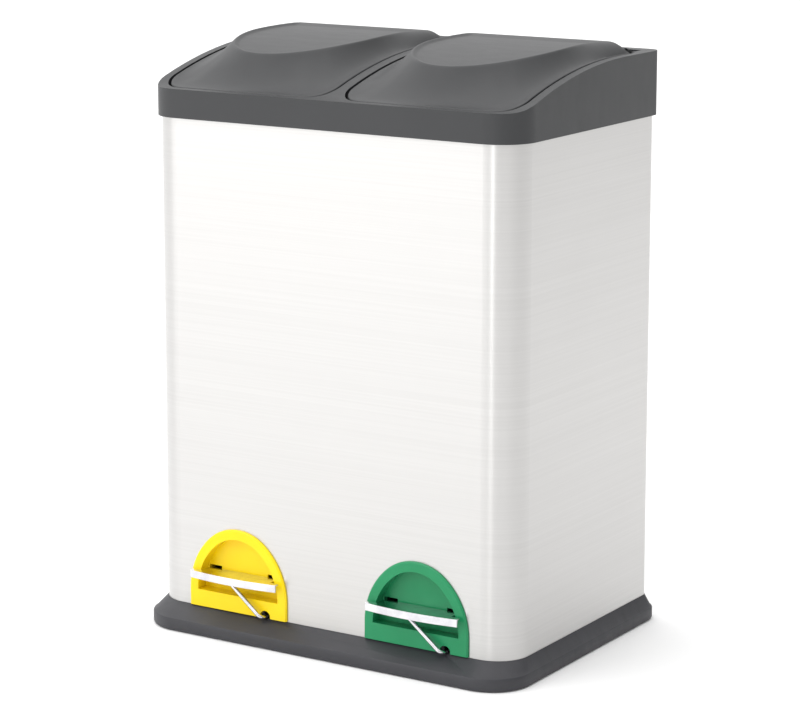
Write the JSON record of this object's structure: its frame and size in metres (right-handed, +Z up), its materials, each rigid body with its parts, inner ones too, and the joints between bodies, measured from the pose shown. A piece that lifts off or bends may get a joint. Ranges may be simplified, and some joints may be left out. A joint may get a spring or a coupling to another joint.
{
  "type": "double pedal recycling bin",
  "caption": "Double pedal bin: brushed steel sleeve on a dark base, two domed lids in a sloping collar, inner buckets, and a pedal and crank linkage for each lid.",
  "frame": {"origin": "centre of the base's footprint on the floor", "axes": "+Z up, -Y the front with the pedals, +X to the right seen from the front"},
  "size_m": [0.404, 0.288, 0.5513],
  "materials": {
    "brushed_steel": "brushed stainless sheet, level grain",
    "base_plastic": "moulded, fine matt grain",
    "grey_plastic": "moulded, soft satin grain",
    "yellow_plastic": "satin gloss",
    "green_plastic": "satin gloss",
    "bucket_plastic": "matt inside, fine grain",
    "polished_steel": "bright plated steel",
    "zinc": "bright zinc plating",
    "rubber": "matt rubber"
  },
  "bodies": {
    "root": {"steel_sleeve": "brushed_steel", "base": "base_plastic", "rubber_feet": "rubber", "collar": "grey_plastic", "lid_bumpers": "rubber", "bezel_yellow": "yellow_plastic", "bezel_green": "green_plastic", "shaft_clips": "base_plastic", "clip_screws": "zinc", "base_screws": "zinc", "collar_screws": "zinc", "pedal_pin_left": "polished_steel", "inner_bucket_left": "bucket_plastic", "bucket_bail_left": "polished_steel", "bail_grip_left": "bucket_plastic", "pedal_pin_right": "polished_steel", "inner_bucket_right": "bucket_plastic", "bucket_bail_right": "polished_steel", "bail_grip_right": "bucket_plastic"},
    "lid_left": {"lid_left": "grey_plastic", "lid_hinge_pins_left": "polished_steel", "lug_pin_left": "polished_steel"},
    "rod_left": {"pull_rod_left": "zinc"},
    "crank_left": {"crank_wire_left": "polished_steel"},
    "pedal_left": {"pedal_left": "polished_steel"},
    "lid_right": {"lid_right": "grey_plastic", "lid_hinge_pins_right": "polished_steel", "lug_pin_right": "polished_steel"},
    "rod_right": {"pull_rod_right": "zinc"},
    "crank_right": {"crank_wire_right": "polished_steel"},
    "pedal_right": {"pedal_right": "polished_steel"}
  },
  "joints": [
    {"name": "lid_hinge_left", "type": "hinge", "parent": "root", "child": "lid_left", "pos_m": [-0.09705, 0.1105, 0.528], "axis": [-1, 0, 0], "range_deg": [0, 70]},
    {"name": "rod_slide_left", "type": "slide", "parent": "root", "child": "rod_left", "axis": [0, 0, -1], "range_m": [0, 0.01582]},
    {"name": "crank_turn_left", "type": "hinge", "parent": "root", "child": "crank_left", "pos_m": [-0.06605, -0.01, 0.0255], "axis": [0, -1, 0], "range_deg": [0, 12.89]},
    {"name": "pedal_hinge_left", "type": "hinge", "parent": "root", "child": "pedal_left", "pos_m": [-0.09705, -0.108, 0.0575], "axis": [1, 0, 0], "range_deg": [0, 24]},
    {"name": "lid_hinge_right", "type": "hinge", "parent": "root", "child": "lid_right", "pos_m": [0.09705, 0.1105, 0.528], "axis": [-1, 0, 0], "range_deg": [0, 70]},
    {"name": "rod_slide_right", "type": "slide", "parent": "root", "child": "rod_right", "axis": [0, 0, -1], "range_m": [0, 0.01582]},
    {"name": "crank_turn_right", "type": "hinge", "parent": "root", "child": "crank_right", "pos_m": [0.12805, -0.01, 0.0255], "axis": [0, -1, 0], "range_deg": [0, 12.89]},
    {"name": "pedal_hinge_right", "type": "hinge", "parent": "root", "child": "pedal_right", "pos_m": [0.09705, -0.108, 0.0575], "axis": [1, 0, 0], "range_deg": [0, 24]}
  ],
  "couplings": [
    {"joint": "rod_slide_left", "follows": "lid_hinge_left", "m_per_rad": 0.012946},
    {"joint": "crank_turn_left", "follows": "lid_hinge_left", "ratio": 0.1842},
    {"joint": "pedal_hinge_left", "follows": "lid_hinge_left", "ratio": 0.34286},
    {"joint": "rod_slide_right", "follows": "lid_hinge_right", "m_per_rad": 0.012946},
    {"joint": "crank_turn_right", "follows": "lid_hinge_right", "ratio": 0.1842},
    {"joint": "pedal_hinge_right", "follows": "lid_hinge_right", "ratio": 0.34286}
  ]
}
